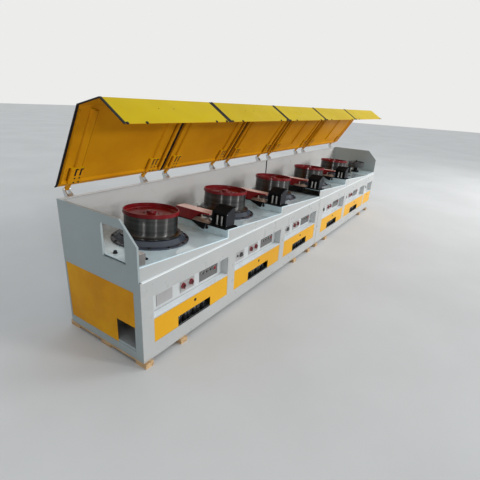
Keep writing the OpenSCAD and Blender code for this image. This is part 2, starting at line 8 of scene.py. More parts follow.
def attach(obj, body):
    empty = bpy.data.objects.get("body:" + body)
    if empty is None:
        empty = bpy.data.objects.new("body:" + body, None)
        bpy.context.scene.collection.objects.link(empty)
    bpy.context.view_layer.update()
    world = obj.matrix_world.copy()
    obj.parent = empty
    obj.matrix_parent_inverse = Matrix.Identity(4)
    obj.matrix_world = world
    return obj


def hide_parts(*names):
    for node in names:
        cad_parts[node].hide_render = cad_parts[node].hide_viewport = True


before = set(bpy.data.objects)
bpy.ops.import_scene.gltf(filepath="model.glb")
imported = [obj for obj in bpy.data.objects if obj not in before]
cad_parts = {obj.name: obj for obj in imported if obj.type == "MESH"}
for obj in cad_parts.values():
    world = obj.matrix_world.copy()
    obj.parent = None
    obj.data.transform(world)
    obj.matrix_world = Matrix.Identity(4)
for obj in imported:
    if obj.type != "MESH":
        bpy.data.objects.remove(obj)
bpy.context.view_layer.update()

# Viewpoint, floor and light.
# The machine stands on a plain pale floor and is seen from its outlet end, from a
# little above the open hoods. The light is soft, and falls off towards that end.
scene = bpy.context.scene
scene.view_settings.view_transform = "Standard"
EYE = Vector((-5.403, -2.649, 2.319))
turn, down, roll = math.radians(57.2), math.radians(21.3), math.radians(3.5)
sight = Vector((
    math.sin(turn)*math.cos(down), math.cos(turn)*math.cos(down), -math.sin(down)
))
level = sight.cross(Vector((0, 0, 1))).normalized()
upright = level.cross(sight)
right = level*math.cos(roll) + upright*math.sin(roll)
above = upright*math.cos(roll) - level*math.sin(roll)
lens = bpy.data.cameras.new("viewpoint")
lens.lens, lens.sensor_width, lens.clip_end = 26.6, 36.0, 200.0
viewpoint = bpy.data.objects.new("viewpoint", lens)
viewpoint.matrix_world = Matrix((
    (right.x, above.x, -sight.x, EYE.x), (right.y, above.y, -sight.y, EYE.y),
    (right.z, above.z, -sight.z, EYE.z), (0, 0, 0, 1)
))
scene.collection.objects.link(viewpoint)
scene.camera = viewpoint


def wire_up(tree, kind, sockets=(), **settings):
    """A node of a tree, with its settings, and its sockets set or linked."""
    made = tree.nodes.new(kind)
    for key, value in settings.items():
        setattr(made, key, value)
    for key, value in dict(sockets).items():
        if isinstance(value, bpy.types.NodeSocket):
            tree.links.new(value, made.inputs[key])
        else:
            made.inputs[key].default_value = value
    return made


def coating(name, colour, rough, metal=0.0, coat=0.0):
    """A material with its plain values, its tree and its shader."""
    finish = bpy.data.materials.new(name)
    finish.use_nodes = True
    shader = finish.node_tree.nodes["Principled BSDF"]
    shader.inputs["Base Color"].default_value = (*colour, 1.0)
    shader.inputs["Roughness"].default_value = rough
    shader.inputs["Metallic"].default_value = metal
    shader.inputs["Coat Weight"].default_value = coat
    shader.inputs["Coat Roughness"].default_value = 0.06
    return finish, finish.node_tree, shader


def mottle(tree, scale, detail=4.0, stretch=(1.0, 1.0, 1.0), rough=0.55):
    """Soft cloudy noise on the piece's own coordinates."""
    where = wire_up(tree, "ShaderNodeTexCoord")
    spread = wire_up(tree, "ShaderNodeMapping", {
        "Vector": where.outputs["Object"], "Scale": stretch
    })
    return wire_up(tree, "ShaderNodeTexNoise", {
        "Vector": spread.outputs["Vector"], "Scale": scale, "Detail": detail,
        "Roughness": rough
    }).outputs["Fac"]


def drift(tree, fac, dark, light, low=0.35, high=0.65):
    """A colour that drifts from dark to light with fac."""
    ramp = wire_up(tree, "ShaderNodeValToRGB", {"Fac": fac})
    ends = ramp.color_ramp.elements
    ends[0].position, ends[1].position = low, high
    ends[0].color, ends[1].color = (*dark, 1.0), (*light, 1.0)
    return ramp.outputs["Color"]


def two_tone(tree, shader, fac, dark, light, low=0.35, high=0.65):
    """Base colour that drifts from dark to light with fac."""
    tree.links.new(drift(tree, fac, dark, light, low, high), shader.inputs["Base Color"])


pale, tree, shader = coating("pale_floor", (0.62, 0.62, 0.61), 0.75)
two_tone(tree, shader, mottle(tree, 0.5), (0.60, 0.60, 0.59), (0.65, 0.65, 0.64))
REACH = 60.0
floor_mesh = bpy.data.meshes.new("floor")
floor_mesh.from_pydata(
    [(x*REACH, y*REACH, 0) for x, y in ((-1, -1), (1, -1), (1, 1), (-1, 1))],
    [], [(0, 1, 2, 3)]
)
floor_mesh.materials.append(pale)
floor = bpy.data.objects.new("floor", floor_mesh)
scene.collection.objects.link(floor)

world = bpy.data.worlds.new("soft_light")
scene.world = world
world.use_nodes = True
sky = world.node_tree
lamp_level = sky.nodes["Background"]
lamp_level.inputs["Color"].default_value = (0.90, 0.95, 1.0, 1.0)
looking = wire_up(sky, "ShaderNodeTexCoord")
upward = wire_up(sky, "ShaderNodeSeparateXYZ", {0: looking.outputs["Generated"]})
overhead = wire_up(sky, "ShaderNodeMapRange", {
    "Value": upward.outputs["Z"], "From Min": -0.1, "From Max": 0.9,
    "To Min": 0.13, "To Max": 1.06
})
endways = wire_up(sky, "ShaderNodeMapRange", {
    "Value": upward.outputs["X"], "From Min": -1.0, "From Max": 0.1,
    "To Min": 0.05, "To Max": 1.0
})
shaped = wire_up(sky, "ShaderNodeMath", {
    0: overhead.outputs["Result"], 1: endways.outputs["Result"]
}, operation="MULTIPLY")
sky.links.new(shaped.outputs[0], lamp_level.inputs["Strength"])
seen = wire_up(sky, "ShaderNodeBackground", {"Color": (0.84, 0.84, 0.83, 1.0)})
ray = wire_up(sky, "ShaderNodeLightPath")
seen_or_glossy = wire_up(sky, "ShaderNodeMath", {
    0: ray.outputs["Is Camera Ray"], 1: ray.outputs["Is Glossy Ray"]
}, operation="MAXIMUM")
seen_at_all = wire_up(sky, "ShaderNodeMath", {
    0: seen_or_glossy.outputs[0], 1: ray.outputs["Is Transmission Ray"]
}, operation="MAXIMUM")
either = wire_up(sky, "ShaderNodeMixShader", {
    0: seen_at_all.outputs[0], 1: lamp_level.outputs[0], 2: seen.outputs[0]
})
sky.links.new(either.outputs[0], sky.nodes["World Output"].inputs["Surface"])


def hang(lamp, towards, place=(0, 0, 0)):
    """Puts a lamp in the scene, at a place and shining towards a direction."""
    holder = bpy.data.objects.new(lamp.name, lamp)
    holder.location = place
    holder.rotation_euler = Vector(towards).to_track_quat("-Z", "Y").to_euler()
    scene.collection.objects.link(holder)
    return holder


def soft_lamp(name, towards, energy, width):
    """A distant lamp with soft shadows, width in degrees."""
    lamp = bpy.data.lights.new(name, "SUN")
    lamp.energy, lamp.angle = energy, math.radians(width)
    hang(lamp, towards)


soft_lamp("key_lamp", (-0.36, 0.84, -0.41), 0.68, 11)
soft_lamp("left_strip", (0.39, 0.90, -0.17), 0.34, 4)
soft_lamp("end_strip", (0.95, 0.29, -0.20), 0.36, 5)
soft_lamp("right_strip", (-0.40, 0.90, -0.17), 0.30, 5)
pane = bpy.data.lights.new("inlet_pane", "AREA")
pane.energy = 760.0
pane.shape, pane.size, pane.size_y = "RECTANGLE", 5.0, 4.0
pane_holder = hang(pane, (-5.5, 9.0, -4.5), (8.5, -9.5, 5.5))
pane_holder.visible_camera = False
pane_holder.visible_glossy = False

# Timber skids: boards across the machine on sawn pine blocks.
# The boards are nailed down into the blocks, whose nail heads show at the ends.
HALF, MIDDLE, RISE = 3675.0, 585.0, 55.0
SKID_FRONT, BLOCK_AT = -25.0, (0, 460, 3025, 3565, 3893, 4353, 6490, 7030)
NAIL, NAIL_HEIGHT = 4.0, 1.4


def at(x, y, z):
    """A place in the machine's own axes, in millimetres, as a place in the frame."""
    return Vector(((x - HALF)/1000, (y - MIDDLE)/1000, (z + RISE)/1000))


def dull(tree, shader, fac, low, high):
    """Roughness that drifts between low and high with fac."""
    span = wire_up(tree, "ShaderNodeMapRange", {
        "Value": fac, "From Min": 0.3, "From Max": 0.7, "To Min": low, "To Max": high
    })
    tree.links.new(span.outputs["Result"], shader.inputs["Roughness"])


def skin(tree, shader, fac, depth, strength=0.4):
    """Fine relief of a surface, depth in metres."""
    relief = wire_up(tree, "ShaderNodeBump", {
        "Strength": strength, "Distance": depth, "Height": fac
    })
    tree.links.new(relief.outputs["Normal"], shader.inputs["Normal"])


def dress(finish, *names):
    """Gives built nodes their finish."""
    for name in names:
        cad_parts[name].material_slots[0].material = finish


def heads_tree(name, sides, washer):
    """Geometry nodes that set a fastener's head on each point, along facing."""
    tree = bpy.data.node_groups.new(name, "GeometryNodeTree")
    face = tree.interface
    face.new_socket("Geometry", in_out="INPUT", socket_type="NodeSocketGeometry")
    face.new_socket("Head radius", in_out="INPUT", socket_type="NodeSocketFloat")
    face.new_socket("Head height", in_out="INPUT", socket_type="NodeSocketFloat")
    face.new_socket("Metal", in_out="INPUT", socket_type="NodeSocketMaterial")
    face.new_socket("Geometry", in_out="OUTPUT", socket_type="NodeSocketGeometry")
    given = wire_up(tree, "NodeGroupInput").outputs
    half = wire_up(tree, "ShaderNodeMath", {0: given["Head height"], 1: 0.5},
                   operation="MULTIPLY")
    head = wire_up(tree, "GeometryNodeMeshCylinder", {
        "Vertices": sides, "Radius": given["Head radius"], "Depth": given["Head height"]
    })
    lift = wire_up(tree, "ShaderNodeCombineXYZ", {"Z": half.outputs[0]})
    raised = wire_up(tree, "GeometryNodeTransform", {
        "Geometry": head.outputs["Mesh"], "Translation": lift.outputs[0]
    })
    parts = wire_up(tree, "GeometryNodeJoinGeometry")
    tree.links.new(raised.outputs[0], parts.inputs[0])
    if washer:
        wide = wire_up(tree, "ShaderNodeMath", {0: given["Head radius"], 1: washer},
                       operation="MULTIPLY")
        thin = wire_up(tree, "ShaderNodeMath", {0: given["Head height"], 1: 0.3},
                       operation="MULTIPLY")
        ring = wire_up(tree, "GeometryNodeMeshCylinder", {
            "Vertices": 16, "Radius": wide.outputs[0], "Depth": thin.outputs[0]
        })
        tree.links.new(ring.outputs["Mesh"], parts.inputs[0])
    along = wire_up(tree, "GeometryNodeInputNamedAttribute", {"Name": "facing"},
                    data_type="FLOAT_VECTOR")
    turned_to = wire_up(tree, "FunctionNodeAlignRotationToVector", {
        "Vector": along.outputs["Attribute"]
    }, axis="Z")
    spread = wire_up(tree, "GeometryNodeInstanceOnPoints", {
        "Points": given["Geometry"], "Instance": parts.outputs[0],
        "Rotation": turned_to.outputs[0]
    })
    real = wire_up(tree, "GeometryNodeRealizeInstances", {"Geometry": spread.outputs[0]})
    painted = wire_up(tree, "GeometryNodeSetMaterial", {
        "Geometry": real.outputs[0], "Material": given["Metal"]
    })
    out = wire_up(tree, "NodeGroupOutput")
    tree.links.new(painted.outputs[0], out.inputs[0])
    return tree


def fasten(name, spots, radius, height, tree, finish, body):
    """One piece of fastener heads, radius and height in mm, at (place, facing) spots."""
    mesh = bpy.data.meshes.new(name)
    mesh.from_pydata([spot[0] for spot in spots], [], [])
    facing = mesh.attributes.new("facing", "FLOAT_VECTOR", "POINT")
    for k, spot in enumerate(spots):
        facing.data[k].vector = spot[1]
    holder = bpy.data.objects.new(name + "_spots", mesh)
    scene.collection.objects.link(holder)
    maker = holder.modifiers.new("heads", "NODES")
    maker.node_group = tree
    values = {"Head radius": radius/1000, "Head height": height/1000, "Metal": finish}
    for item in tree.interface.items_tree:
        if item.in_out == "INPUT" and item.name in values:
            maker[item.identifier] = values[item.name]
    made = bpy.data.meshes.new_from_object(
        holder.evaluated_get(bpy.context.evaluated_depsgraph_get())
    )
    bpy.data.objects.remove(holder)
    made.name = name
    piece = bpy.data.objects.new(name, made)
    scene.collection.objects.link(piece)
    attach(piece, body)


pine, tree, shader = coating("sawn_pine", (0.55, 0.36, 0.18), 0.75)
grain = mottle(tree, 3.0, 6.0, (22.0, 1.4, 16.0))
two_tone(tree, shader, grain, (0.34, 0.19, 0.08), (0.66, 0.46, 0.25), 0.3, 0.7)
skin(tree, shader, grain, 0.0015, 0.6)
dress(pine, "timber_skids")

pan_heads = heads_tree("pan_head", 16, 0)
zinc, tree, shader = coating("zinc_plating", (0.60, 0.60, 0.58), 0.34, metal=1.0)
dull(tree, shader, mottle(tree, 40.0), 0.26, 0.46)
fasten("skid_nails", [
    (at(x + q, SKID_FRONT + NAIL_HEIGHT, z), (0, -1, 0))
    for x in BLOCK_AT for q, z in ((22, -34), (66, -43))
] + [
    (at(NAIL_HEIGHT, y, -36), (-1, 0, 0)) for y in (10, 80, 515, 580, 1010, 1080)
], NAIL, NAIL_HEIGHT, pan_heads, zinc, "machine")

# Cabinet: bottom frames, fronts, walls and the plates at the joint of the modules.
# Folded and welded sheet steel under one semi-gloss light cool grey. The back walls get a
# paler copy of it as painted light, and the two end walls a deeper, bluer copy as painted
# shade.
BACK_FACE = 1100.0


def sprayed(name, dark, light, rough, coat=0.1, cloud=0.9, peel=0.0002, shine=0.4):
    """Sprayed paint: slight drift of colour, uneven gloss and orange peel."""
    finish, tree, shader = coating(name, light, rough, coat=coat)
    shader.inputs["Specular IOR Level"].default_value = shine
    two_tone(tree, shader, mottle(tree, cloud, 5.0), dark, light)
    dull(tree, shader, mottle(tree, 7.0, 3.0), rough - 0.05, rough + 0.09)
    skin(tree, shader, mottle(tree, 210.0, 2.0), peel, 0.25)
    return finish, tree, shader


SMOOTH = 0.00004
cabinet_grey, tree, shader = sprayed(
    "cabinet_grey", (0.40, 0.412, 0.405), (0.45, 0.461, 0.453), 0.30, coat=0.5, peel=SMOOTH
)
dress(
    cabinet_grey, "base_frame_1", "base_frame_2", "front_plate_1", "front_plate_2",
    "upper_front_1", "upper_front_2", "joint_walls"
)
# A paler copy of the cabinet grey: painted light on the back walls.
back_wall_lit_grey, tree, shader = sprayed(
    "back_wall_lit_grey", (0.47, 0.468, 0.458), (0.52, 0.517, 0.506), 0.32, coat=0.3, peel=SMOOTH
)
dress(back_wall_lit_grey, "back_wall_1", "back_wall_2")
# A deeper, bluer copy of the cabinet grey: painted shade on the end walls.
end_wall_shaded_grey, tree, shader = sprayed(
    "end_wall_shaded_grey", (0.30, 0.352, 0.36), (0.345, 0.40, 0.41), 0.34, coat=0.2, peel=SMOOTH
)
dress(end_wall_shaded_grey, "left_end_wall", "right_end_wall")

hex_heads = heads_tree("hex_head_and_washer", 6, 1.5)
fasten("back_wall_screws", [
    (at(x, BACK_FACE, z), (0, 1, 0))
    for x in (40, 640, 1260, 1880, 2520, 3200, 3850, 3930, 4600, 5213, 5920, 6640, 7310)
    for z in (150, 480, 800, 1180)
], 7, 5, pan_heads, zinc, "machine")
fasten("joint_bolts", [
    (at(x, BACK_FACE, z), (0, 1, 0)) for x in (3862, 3916) for z in (300, 640, 960, 1270)
], 11, 8, hex_heads, zinc, "machine")

# Control recesses: boxes of folded sheet let into the fronts, each with a thin white strip on
# its floor as a painted highlight of the light that falls there. The same grey paint, a little
# cleaner. Along the lip of the front above them runs a thin white strip, folded down over its
# face, as a painted highlight of the light on the lip's fold.
panels = [(139, 1120), (1399, 1120), (2659, 1120), (4092, 1120), (5352, 1287), (6720, 538)]
RECESS_FLOOR, SILL_HIGHLIGHT, LIP_TOP, EDGE = 418.0, 1.6, 815.0, 1.6
recess_grey, tree, shader = sprayed(
    "recess_grey", (0.50, 0.52, 0.52), (0.56, 0.575, 0.575), 0.30, peel=SMOOTH
)
dress(recess_grey, "recess_boxes_1", "recess_boxes_2")
# White paint for painted highlights: the strips on the recess floors and over the lip's fold.
highlight_white, tree, shader = coating("highlight_white", (0.86, 0.90, 0.91), 0.2, coat=0.6)
dull(tree, shader, mottle(tree, 7.0), 0.16, 0.28)


class Stock:
    """The corners and faces of one piece, gathered form by form, in metres."""

    def __init__(self):
        self.corners, self.faces = [], []

    def add(self, corners, faces):
        start = len(self.corners)
        self.corners += corners
        self.faces += [[start + k for k in face] for face in faces]

    def block(self, put, low, high):
        """A rectangular block between two corners given in mm."""
        self.slab(put, [
            (low[0], low[1]), (high[0], low[1]), (high[0], high[1]), (low[0], high[1])
        ], low[2], high[2])

    def slab(self, put, outline, z0, z1):
        """An outline in the first two axes, run from z0 to z1 along the third."""
        n = len(outline)
        corners = [put(a, b, z) for z in (z0, z1) for a, b in outline]
        sides = [(k, (k + 1) % n, n + (k + 1) % n, n + k) for k in range(n)]
        self.add(corners, sides + [tuple(range(n))[::-1], tuple(range(n, 2*n))])

    def turned(self, put, profile, steps):
        """A closed profile of (radius, height) turned about the third axis."""
        n = len(profile)
        corners, faces = [], []
        for k in range(steps):
            a = math.radians(360.0*k/steps)
            corners += [put(r*math.cos(a), r*math.sin(a), z) for r, z in profile]
            near, far = k*n, ((k + 1) % steps)*n
            for q in range(n):
                p = (q + 1) % n
                if profile[q][0] or profile[p][0]:
                    faces.append((near + q, far + q, far + p, near + p))
        self.add(corners, faces)

    def made(self, name, finish, body, slot, soften=0.0, sharp=38.0):
        """The piece itself, with its finish, riding on a body."""
        mesh = bpy.data.meshes.new(name)
        mesh.from_pydata(self.corners, [], self.faces)
        work = bmesh.new()
        work.from_mesh(mesh)
        bmesh.ops.remove_doubles(work, verts=work.verts, dist=2e-6)
        bmesh.ops.dissolve_degenerate(work, edges=work.edges, dist=1e-6)
        bmesh.ops.recalc_face_normals(work, faces=work.faces)
        for face in work.faces:
            face.smooth = True
        for edge in work.edges:
            if edge.calc_face_angle(3.2) > math.radians(sharp):
                edge.smooth = False
        work.to_mesh(mesh)
        work.free()
        mesh.materials.append(finish)
        piece = bpy.data.objects.new(name, mesh)
        scene.collection.objects.link(piece)
        if soften:
            edges = piece.modifiers.new("softened_edges", "BEVEL")
            edges.width, edges.segments = soften/1000, 2
            edges.limit_method, edges.angle_limit = "ANGLE", math.radians(sharp)
        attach(piece, body)
        return piece


def along_lip(a, b, c):
    """Places in mm along the front lip: inwards, up from its top, and along it."""
    return at(c, a, LIP_TOP + b)


# These strips are painted highlights, not parts of the sheet.
sill_highlights, lip_highlights = Stock(), Stock()
for start, length in panels:
    sill_highlights.block(
        at, (start + 1, 3, RECESS_FLOOR), (start + length - 1, 74, RECESS_FLOOR + SILL_HIGHLIGHT)
    )
for x0, x1 in ((21, 3884), (3894, 7329)):
    lip_highlights.slab(along_lip, [(0, -8), (-EDGE, -8), (-EDGE, 0), (0, 0)], x0, x1)
    lip_highlights.slab(along_lip, [(-EDGE, 0), (3, 1.0), (21.6, 1.0), (21.6, 0)], x0, x1)
sill_highlights.made("recess_sill_highlights", highlight_white, "machine", "body_paint", soften=0.5)
lip_highlights.made("lip_fold_highlights", highlight_white, "machine", "body_paint")

# Decks: sloping tables of thick plate under the capstans, in glossy grey paint that is smeared
# and dulled where drawing soap falls. Its colour is tinted blue and brightened as a painted
# reflection of the light from above. The first has a rubber plug and a rubber bar on it, and
# black seals close the joint between the two modules.
# The blue tint and the brightness are painted light: the reflection of the light from above.
deck_sky_lit_grey, tree, shader = coating("deck_sky_lit_grey", (0.68, 0.84, 0.89), 0.16, coat=1.0)
smear = mottle(tree, 2.6, 6.0, (0.6, 1.5, 1.0), 0.62)
two_tone(tree, shader, smear, (0.58, 0.72, 0.77), (0.68, 0.84, 0.89), 0.36, 0.6)
dull(tree, shader, smear, 0.34, 0.14)
skin(tree, shader, mottle(tree, 120.0, 2.0), 0.00005, 0.3)
dress(deck_sky_lit_grey, "deck_1", "deck_2")

TILT = math.radians(4.24)
DECK_TOP = 956.0
deck_start = [0, 1260, 2520, 3893, 5213]


def on_deck(i, x, y):
    """Places in mm on deck i, square to it, from the machine's x and y."""
    z0 = DECK_TOP - (x - deck_start[i])*math.tan(TILT)

    def put(a, b, c):
        return at(x + a*math.cos(TILT) + c*math.sin(TILT), y + b,
                  z0 - a*math.sin(TILT) + c*math.cos(TILT))
    return put


black_rubber, tree, shader = coating("black_rubber", (0.010, 0.010, 0.0105), 0.6)
shader.inputs["Specular IOR Level"].default_value = 0.2
dull(tree, shader, mottle(tree, 30.0), 0.52, 0.72)
skin(tree, shader, mottle(tree, 300.0), 0.0002)
plug, bar, seals = Stock(), Stock(), Stock()
plug.turned(on_deck(0, 86, 411), [
    (0, 0), (22, 0), (22, 4), (17, 7), (16, 22), (13, 25), (0, 25)
], 32)
plug.made("deck_plug", black_rubber, "machine", "edging_rubber")
seals.block(at, (3874, 1088.5, 958), (3904, 1092.5, 1320))
seals.block(at, (3885.2, 1.0, 10), (3892.8, 6.0, 812))
seals.made("joint_seals", black_rubber, "machine", "edging_rubber")
bar.block(on_deck(0, 182, 204), (-10, -98, 0), (10, 98, 15))
bar.made("outlet_rest", black_rubber, "machine", "edging_rubber", soften=2.0)

# Yellow panels: lift-out covers of folded sheet, each held by a quarter-turn lock.
# Golden yellow paint, more orange and cloudy on the panels of the two ends.
golden, tree, shader = sprayed(
    "golden_yellow", (0.66, 0.322, 0.006), (0.73, 0.375, 0.008), 0.34, shine=0.2
)
dress(golden, "front_panels_1", "front_panels_2")
end_golden, tree, shader = sprayed(
    "end_golden_yellow", (0.60, 0.255, 0.004), (0.72, 0.345, 0.006), 0.42,
    coat=0.0, cloud=2.6, shine=0.1
)
dress(end_golden, "end_panels")

dark_steel, tree, shader = coating("blackened_steel", (0.009, 0.0088, 0.0085), 0.45)
shader.inputs["Specular IOR Level"].default_value = 0.3
dull(tree, shader, mottle(tree, 50.0), 0.34, 0.52)
LOCK_Z = 350.0


def towards_front(x, y, z):
    """Places in mm from a point, with the third axis out of the front."""
    return lambda a, b, c: at(x + a, y - c, z + b)


locks = Stock()
for start, length in panels:
    put = towards_front(start + length/2, 1, LOCK_Z)
    locks.turned(put, [(0, 0), (17, 0), (17, 2), (14, 3.5), (9, 3.5), (8, 2), (0, 2)], 28)
    locks.block(put, (-1.6, -8, 1.5), (1.6, 8, 3))
    locks.turned(put, [(0, 1), (4.5, 1), (4.5, 3.2), (0, 3.2)], 16)
locks.made("panel_locks", dark_steel, "machine", "hinge_steel")

# Drain bends: three moulded rubber bends behind the cut-out of each front panel, with a pale
# grey painted highlight on the side that faces the light. Each is clamped at both feet by a
# steel band on its stub in the cabinet floor, behind a black strip along the cut-out.
BEND_PITCH, FOOT, FOOT_Y, FOOT_Z = 145, 46, 60, 130
HIGHLIGHT_SIDE = (0.72, -0.50, 0.48)
bays = panels[:5]


def overlay(tree, shader, share, colour):
    """Lays a colour over a finish's own, as far as share says."""
    own = shader.inputs["Base Color"].links[0].from_socket
    mixed = wire_up(tree, "ShaderNodeMix", {
        0: share, 6: own, 7: (*colour, 1.0)
    }, data_type="RGBA")
    tree.links.new(mixed.outputs[2], shader.inputs["Base Color"])


bend_rubber, tree, shader = coating("bend_rubber", (0.030, 0.033, 0.034), 0.22, coat=0.4)
two_tone(tree, shader, mottle(tree, 18.0), (0.012, 0.013, 0.014), (0.022, 0.024, 0.025))
# Pale grey laid on the faces that point towards the light: a painted highlight.
where = wire_up(tree, "ShaderNodeTexCoord")
outward = wire_up(tree, "ShaderNodeVectorMath", {
    0: where.outputs["Normal"], 1: HIGHLIGHT_SIDE
}, operation="DOT_PRODUCT")
painted_highlight = wire_up(tree, "ShaderNodeMapRange", {
    "Value": outward.outputs["Value"], "From Min": 0.80, "From Max": 0.98
})
overlay(tree, shader, painted_highlight.outputs["Result"], (0.34, 0.38, 0.38))
skin(tree, shader, mottle(tree, 90.0), 0.0006, 0.3)
dress(bend_rubber, "drain_bends")
bands, strips = Stock(), Stock()
for start, length in bays:
    middle = start + length/2
    strips.block(at, (middle - 249, 2.6, 157.5), (middle + 249, 4.1, 170))
    for k in (-1, 0, 1):
        for q in (-FOOT, FOOT):
            def put(a, b, c, x=middle + k*BEND_PITCH + q):
                return at(x + a, FOOT_Y + b, FOOT_Z + c)

            bands.turned(put, [(24, -7), (25.6, -7), (25.6, 7), (24, 7)], 28)
            bands.block(put, (-8, -34, -6), (8, -25, 6))
bands.made("bend_clamps", dark_steel, "machine", "hinge_steel")
strips.made("cut_out_strips", black_rubber, "machine", "edging_rubber")

# Control plates: sheet steel faces in the recesses, each held by four small screws.
# The first of each bay is pale, the second light grey and the third mid grey.
plate_pale, tree, shader = sprayed(
    "plate_pale", (0.33, 0.32, 0.32), (0.40, 0.388, 0.388), 0.4
)
plate_grey, tree, shader = sprayed(
    "plate_grey", (0.31, 0.303, 0.297), (0.38, 0.37, 0.363), 0.36
)
plate_dark, tree, shader = sprayed(
    "plate_dark", (0.105, 0.102, 0.10), (0.135, 0.131, 0.128), 0.36
)
dress(plate_grey, "control_plates")
PLATE_Y, PLATE_LOW, PLATE_TALL, FACE = 82.0, 452.0, 146.0, 1.5
PLATES = [(108, 208), (424, 212), (718, 309)]


def rounded(x0, y0, x1, y1, r, steps=4):
    """A rounded rectangle as a list of corners."""
    out = []
    for cx, cy, a0 in ((x1 - r, y0 + r, -90), (x1 - r, y1 - r, 0),
                       (x0 + r, y1 - r, 90), (x0 + r, y0 + r, 180)):
        for k in range(steps + 1):
            a = math.radians(a0 + 90*k/steps)
            out.append((cx + r*math.cos(a), cy + r*math.sin(a)))
    return out


screw_spots = []
for finish, name, which in (
    (plate_pale, "pale_plate_faces", 0), (plate_grey, "grey_plate_faces", 1),
    (plate_dark, "dark_plate_faces", 2)
):
    faces = Stock()
    for start, length in bays:
        x, width = start + PLATES[which][0], PLATES[which][1]
        put = towards_front(x, PLATE_Y, PLATE_LOW)
        faces.slab(put, rounded(1, 1, width - 1, PLATE_TALL - 1, 6), 0, FACE)
        screw_spots += [
            (put(a, b, FACE), (0, -1, 0))
            for a in (10, width - 10) for b in (10, PLATE_TALL - 10)
        ]
    if which == 0:
        put = towards_front(panels[5][0] + 150, PLATE_Y, PLATE_LOW)
        faces.slab(put, rounded(1, 1, 239, PLATE_TALL - 1, 6), 0, FACE)
    faces.made(name, finish, "machine", "control_face")
fasten("plate_screws", screw_spots, 3.5, 2, pan_heads, zinc, "machine")

# Switches: turned bright bezels with moulded red and black caps.
# They are pushed through the plates from the front and held by a nut behind.
moulded_red, tree, shader = coating("moulded_red", (0.20, 0.006, 0.012), 0.36, coat=0.15)
dull(tree, shader, mottle(tree, 60.0), 0.28, 0.42)
moulded_black, tree, shader = coating("moulded_black", (0.012, 0.012, 0.013), 0.32, coat=0.2)
dull(tree, shader, mottle(tree, 60.0), 0.26, 0.42)
KNOB_Z, BUTTON_Z = 525.0, 545.0
red_at = [(start + q, KNOB_Z) for start, length in bays for q in (461, 579)]
big_black_at = [(panels[5][0] + 270, KNOB_Z)]
lever_at = [(start + 237, KNOB_Z) for start, length in bays[1:]]
small_black_at = [(start + 160, KNOB_Z) for start, length in bays[1:]] + [
    (start + q, BUTTON_Z) for start, length in bays for q in (766, 826, 891)
]
stop_at = [(start + 961, BUTTON_Z) for start, length in bays]
FACE_Y = PLATE_Y - FACE

bezels = Stock()
for spots_of, r in ((red_at, 35), (big_black_at, 26), (lever_at, 28), (small_black_at, 17),
                    (stop_at, 20)):
    for x, z in spots_of:
        bezels.turned(towards_front(x, FACE_Y, z), [
            (0, 0), (r, 0), (r, 2), (r - 2, 4.5), (r - 5, 4.5), (r - 5, 1), (0, 1)
        ], 28)
bezels.made("switch_bezels", zinc, "machine", "hinge_steel")


def grip_knobs(name, spots_of, r, high, finish):
    """Knobs with a skirt, a domed cap and a raised grip bar across it."""
    stock = Stock()
    for x, z in spots_of:
        put = towards_front(x, FACE_Y, z)
        stock.turned(put, [
            (0, 1), (r, 1), (r, 7), (r - 3, 10), (r - 3.5, high - 6), (r - 6, high - 3),
            (0, high - 2)
        ], 28)
        stock.slab(put, rounded(-4.5, -r + 4, 4.5, r - 4, 3), high - 8, high + 4)
    stock.made(name, finish, "machine", "control_caps", soften=0.8)


grip_knobs("red_knobs", red_at, 32, 26, moulded_red)
grip_knobs("end_knob", big_black_at, 22, 26, moulded_black)
centres = Stock()
for x, z in red_at:
    centres.slab(towards_front(x, FACE_Y, z), rounded(-2.5, -22, 2.5, 22, 2), 29.6, 30.8)
    centres.turned(towards_front(x, FACE_Y, z), [(0, 20), (19, 20), (19, 24.6), (0, 25.5)], 24)
centres.made("red_knob_centres", moulded_black, "machine", "control_caps")
levers = Stock()
for x, z in lever_at:
    put = towards_front(x, FACE_Y, z)
    levers.turned(put, [(0, 1), (24, 1), (24, 8), (20, 11), (0, 12)], 24)
    levers.slab(put, [(-27, -26), (27, -26), (33, -8), (13, 26), (-13, 26), (-33, -8)], 10, 20)
levers.made("lever_switches", moulded_black, "machine", "control_caps", soften=1.5)
buttons = Stock()
for x, z in small_black_at:
    buttons.turned(towards_front(x, FACE_Y, z), [
        (0, 1), (13, 1), (13, 9), (11, 12), (0, 12.5)
    ], 24)
buttons.made("push_buttons", moulded_black, "machine", "control_caps")
stops = Stock()
for x, z in stop_at:
    stops.turned(towards_front(x, FACE_Y, z), [
        (0, 1), (12, 1), (12, 9), (20, 12), (21, 16), (17, 20), (8, 22), (0, 22.3)
    ], 28)
stop_piece = stops.made("stop_buttons", moulded_red, "machine", "control_caps")
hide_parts("control_knobs")

# Capstan base rings: turned castings bolted down on the sloping decks.
# Dark blue-grey gloss paint, with blackened bolts round the flange under the cone.
ring_paint, tree, shader = sprayed(
    "ring_paint", (0.022, 0.029, 0.043), (0.042, 0.053, 0.074), 0.27, coat=0.2, cloud=3.0
)
dress(ring_paint, "base_rings")
CAP_X, CAP_Y, FLANGE_TOP, BOLT_CIRCLE = 620.0, 540.0, 15.0, 371.0


def facing_on_deck(a, b, c):
    """A direction on a deck, as a direction in the frame."""
    return (a*math.cos(TILT) + c*math.sin(TILT), b, c*math.cos(TILT) - a*math.sin(TILT))


def round_a_circle(put, radius, height, angles, facing):
    """Places round a circle about put's own axis, each with its facing."""
    return [
        (put(radius*math.cos(math.radians(a)), radius*math.sin(math.radians(a)), height),
         facing) for a in angles
    ]


def on_capstan(i):
    """Places in mm from the foot of capstan i, along and across its tilted shaft."""
    return on_deck(i, deck_start[i] + CAP_X, CAP_Y)


